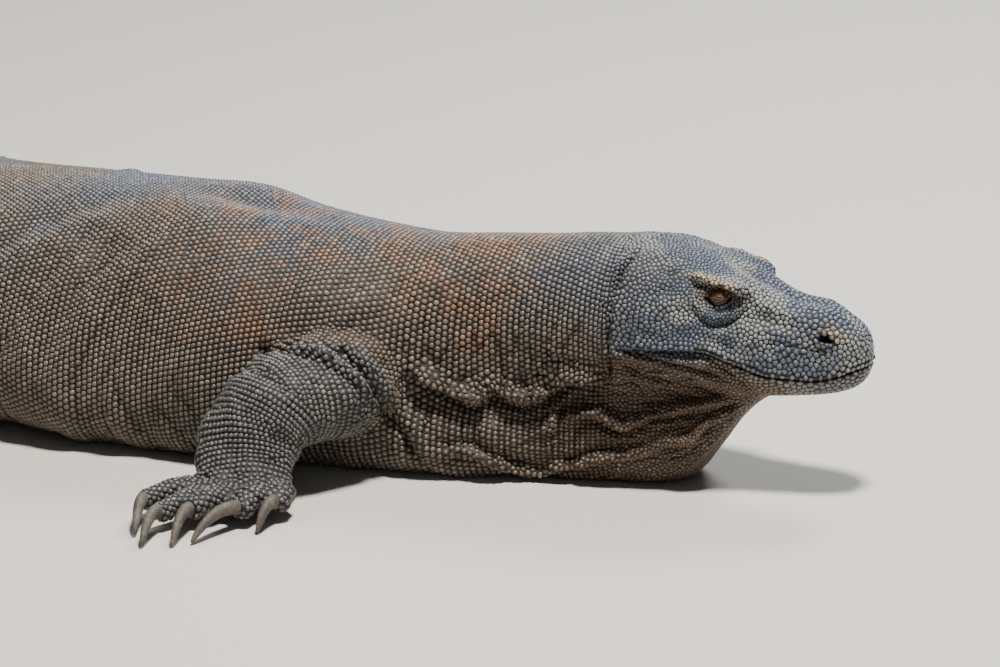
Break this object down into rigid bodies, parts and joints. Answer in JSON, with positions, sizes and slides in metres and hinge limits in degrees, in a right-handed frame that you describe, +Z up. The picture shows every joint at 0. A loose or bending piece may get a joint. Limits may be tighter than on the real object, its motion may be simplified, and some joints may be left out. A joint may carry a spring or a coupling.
{
  "type": "komodo dragon",
  "caption": "Life-size still model of a large monitor lizard at rest: belly, throat and tail on the floor, head level, legs spread to the sides, all claws on the ground.",
  "frame": {"origin": "centre of the model's bounding box on the floor that it rests on", "axes": "+X runs from the hips to the head, +Y to the animal's left, +Z up"},
  "size_m": [2.5401, 0.8193, 0.223],
  "materials": {
    "hide": "dry scaly hide, grey-brown with rusty patches",
    "head_hide": "dry scaly hide, pale blue-grey",
    "throat_hide": "folded scaly hide, brown",
    "eye": "wet and glossy, dark brown",
    "claw": "worn horn, grey-tan with dry earth"
  },
  "bodies": {
    "root": {"throat": "throat_hide", "head": "head_hide", "neck": "hide", "chest": "hide", "abdomen": "hide", "pelvis": "hide", "tail_1": "hide", "tail_2": "hide", "tail_3": "hide", "tail_4": "hide", "tail_5": "hide", "eye_right": "eye", "eye_left": "eye", "lower_jaw": "head_hide", "right_fore_upper_arm": "hide", "right_fore_forearm": "hide", "right_fore_hand": "hide", "right_fore_claw_1": "claw", "right_fore_claw_2": "claw", "right_fore_claw_3": "claw", "right_fore_claw_4": "claw", "right_fore_claw_5": "claw", "left_fore_upper_arm": "hide", "left_fore_forearm": "hide", "left_fore_hand": "hide", "left_fore_claw_1": "claw", "left_fore_claw_2": "claw", "left_fore_claw_3": "claw", "left_fore_claw_4": "claw", "left_fore_claw_5": "claw", "right_hind_thigh": "hide", "right_hind_shank": "hide", "right_hind_foot": "hide", "right_hind_claw_1": "claw", "right_hind_claw_2": "claw", "right_hind_claw_3": "claw", "right_hind_claw_4": "claw", "right_hind_claw_5": "claw", "left_hind_thigh": "hide", "left_hind_shank": "hide", "left_hind_foot": "hide", "left_hind_claw_1": "claw", "left_hind_claw_2": "claw", "left_hind_claw_3": "claw", "left_hind_claw_4": "claw", "left_hind_claw_5": "claw"}
  },
  "joints": []
}
